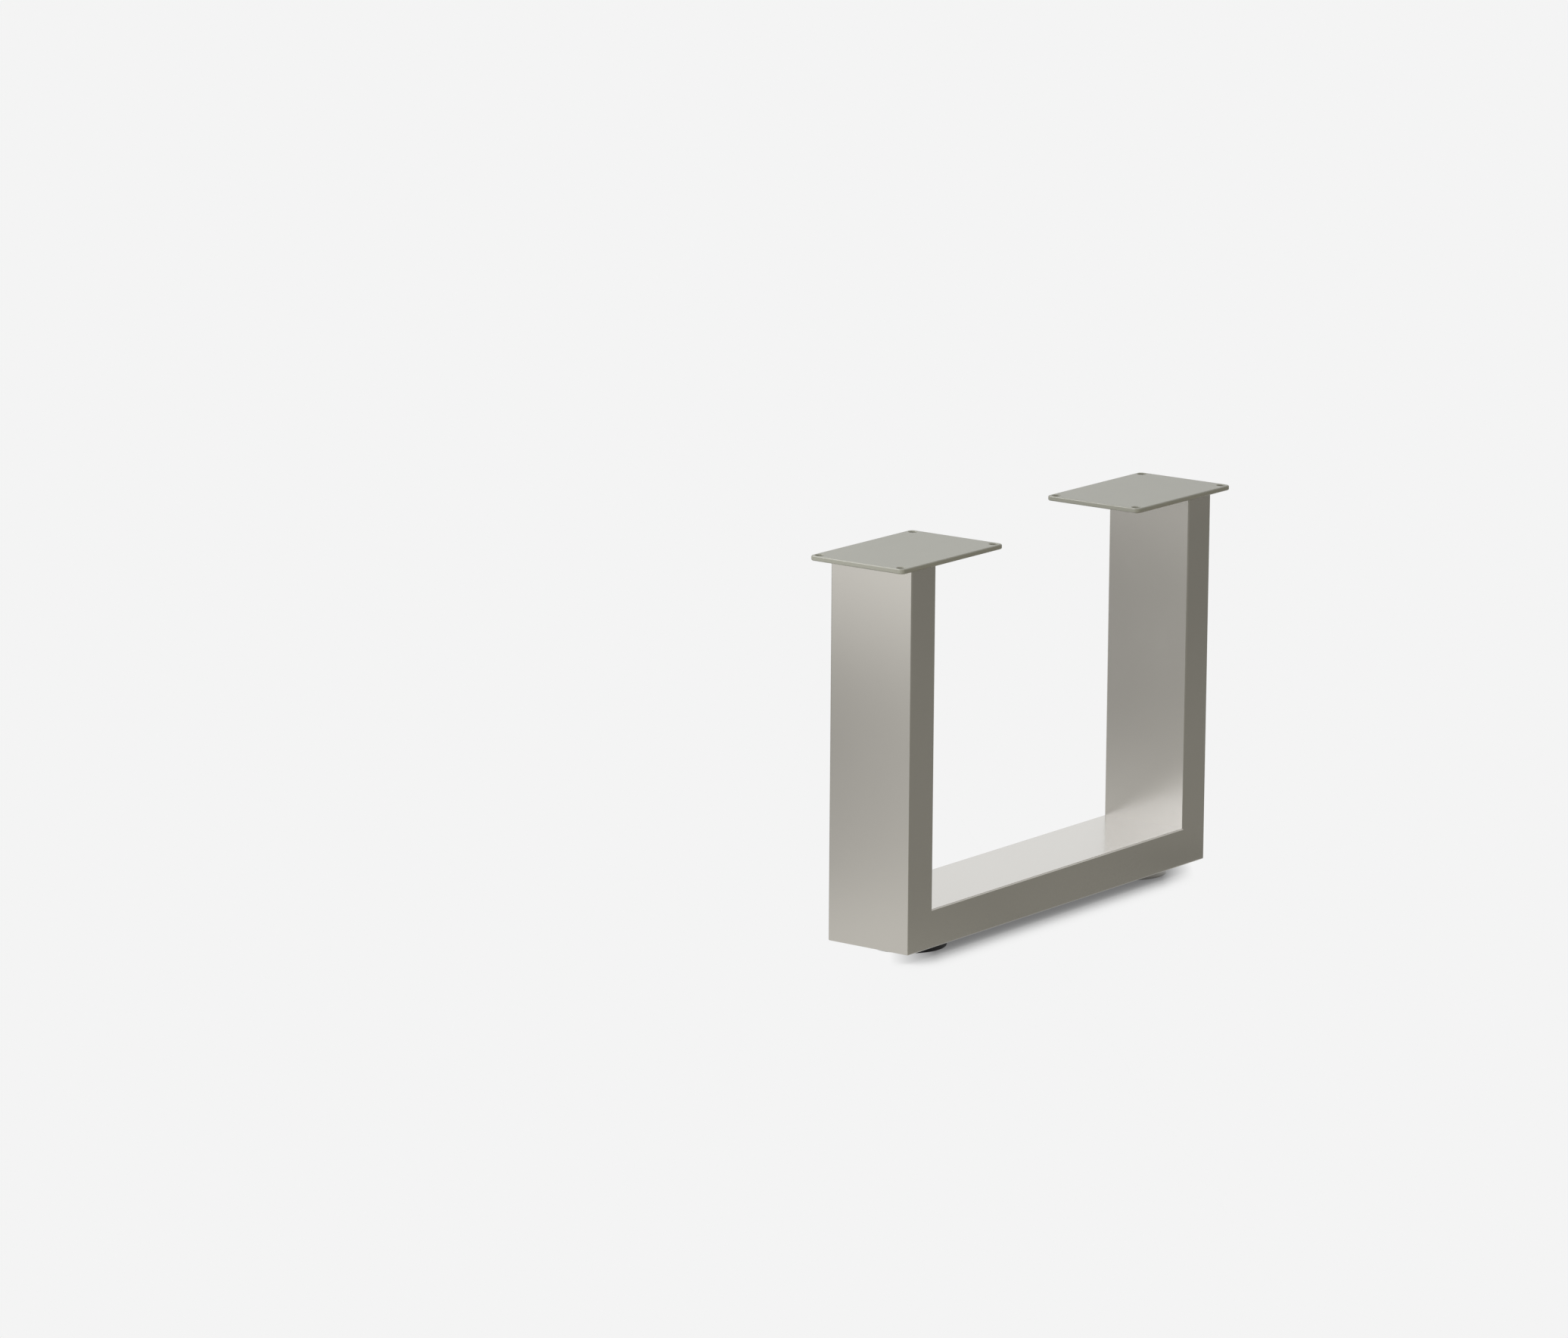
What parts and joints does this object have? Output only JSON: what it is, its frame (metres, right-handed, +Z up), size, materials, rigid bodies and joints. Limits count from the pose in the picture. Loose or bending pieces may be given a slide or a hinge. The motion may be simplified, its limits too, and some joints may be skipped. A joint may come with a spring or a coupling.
{
  "type": "u shaped table leg",
  "caption": "U shaped table leg of rectangular steel tube with a bolting plate on each upright and a round levelling foot under each end.",
  "frame": {"origin": "on the floor, under the middle of the U", "axes": "+Z up, X along the U from the left upright to the right one, Y across the wide side of the tube"},
  "size_m": [0.575, 0.115, 0.406],
  "materials": {
    "tube_finish": "satin metallic coating, pewter taupe",
    "plate_coating": "matte powder coat, greenish grey",
    "black_disc": "moulded black nylon",
    "zinc_steel": "bright zinc plated steel",
    "glide_nylon": "moulded nylon"
  },
  "bodies": {
    "frame": {"cross_tube": "tube_finish", "left_upright": "tube_finish", "right_upright": "tube_finish", "left_top_plate": "plate_coating", "right_top_plate": "plate_coating", "left_rivet_nut": "zinc_steel", "right_rivet_nut": "zinc_steel"},
    "left_foot": {"left_foot_disc": "black_disc", "left_foot_glide": "glide_nylon"},
    "left_stem": {"left_foot_stem": "zinc_steel"},
    "right_foot": {"right_foot_disc": "tube_finish", "right_foot_glide": "glide_nylon"},
    "right_stem": {"right_foot_stem": "zinc_steel"}
  },
  "joints": [
    {"name": "left_foot_slide", "type": "slide", "parent": "frame", "child": "left_foot", "axis": [0, 0, -1], "range_m": [0, 0.012]},
    {"name": "left_screw_turn", "type": "hinge", "parent": "left_foot", "child": "left_stem", "pos_m": [-0.1955, 0, 0.005], "axis": [0, 0, -1], "range_deg": [0, 2880]},
    {"name": "right_foot_slide", "type": "slide", "parent": "frame", "child": "right_foot", "axis": [0, 0, -1], "range_m": [0, 0.012]},
    {"name": "right_screw_turn", "type": "hinge", "parent": "right_foot", "child": "right_stem", "pos_m": [0.1955, 0, 0.005], "axis": [0, 0, -1], "range_deg": [0, 2880]}
  ],
  "couplings": [
    {"joint": "left_screw_turn", "follows": "left_foot_slide", "rad_per_m": 4188.8},
    {"joint": "right_screw_turn", "follows": "right_foot_slide", "rad_per_m": 4188.8}
  ]
}
